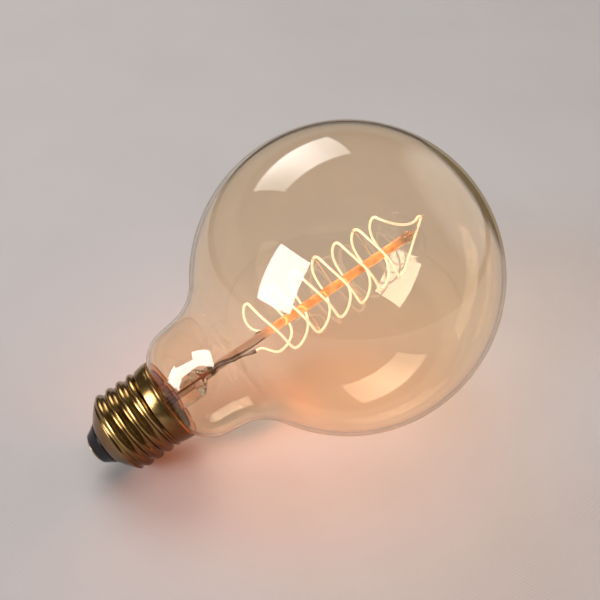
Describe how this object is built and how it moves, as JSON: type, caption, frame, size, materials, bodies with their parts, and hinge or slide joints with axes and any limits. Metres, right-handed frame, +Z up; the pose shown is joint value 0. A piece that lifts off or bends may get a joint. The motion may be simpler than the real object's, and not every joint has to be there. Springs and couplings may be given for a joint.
{
  "type": "globe filament lamp",
  "caption": "Globe-shaped amber glass filament lamp with a rolled screw cap, a glass stem and a double spiral wire filament, lying on its side.",
  "frame": {"origin": "on the floor, under the middle of the bounding box", "axes": "+Z up; the lamp's axis lies in the XZ plane, with the cap low towards -X and the globe towards +X; the lamp rests on its globe and on the first crest of its cap"},
  "size_m": [0.1318, 0.095, 0.095],
  "materials": {
    "amber_glass": "thin blown glass with an amber coating, polished",
    "clear_glass": "clear drawn glass, polished",
    "black_glass": "black moulded glass, glossy",
    "brass": "rolled brass sheet, bright, slightly tarnished",
    "contact_brass": "pressed brass, satin",
    "solder": "soft solder, dull with bright spots",
    "support_wire": "drawn molybdenum wire, satin",
    "nickel_wire": "drawn nickel wire, darkened by heat",
    "seal_wire": "copper-clad seal wire, dark red under the glass",
    "copper_wire": "drawn copper wire, bright",
    "tungsten": "coiled tungsten wire, glowing",
    "cement": "baked basing cement, matt"
  },
  "bodies": {
    "root": {"globe_envelope": "amber_glass", "stem_flare": "clear_glass", "stem_press": "clear_glass", "exhaust_tube": "clear_glass", "arbor_rod": "clear_glass", "top_hook": "support_wire", "filament_supports": "support_wire", "filament": "tungsten", "inner_lead_a": "nickel_wire", "inner_lead_b": "nickel_wire", "seal_wire_a": "seal_wire", "seal_wire_b": "seal_wire", "outer_lead_side": "copper_wire", "outer_lead_centre": "copper_wire", "fuse_link": "nickel_wire", "screw_shell": "brass", "basing_cement": "cement", "base_insulator": "black_glass", "centre_contact": "contact_brass", "contact_solder": "solder", "side_solder": "solder"}
  },
  "joints": []
}
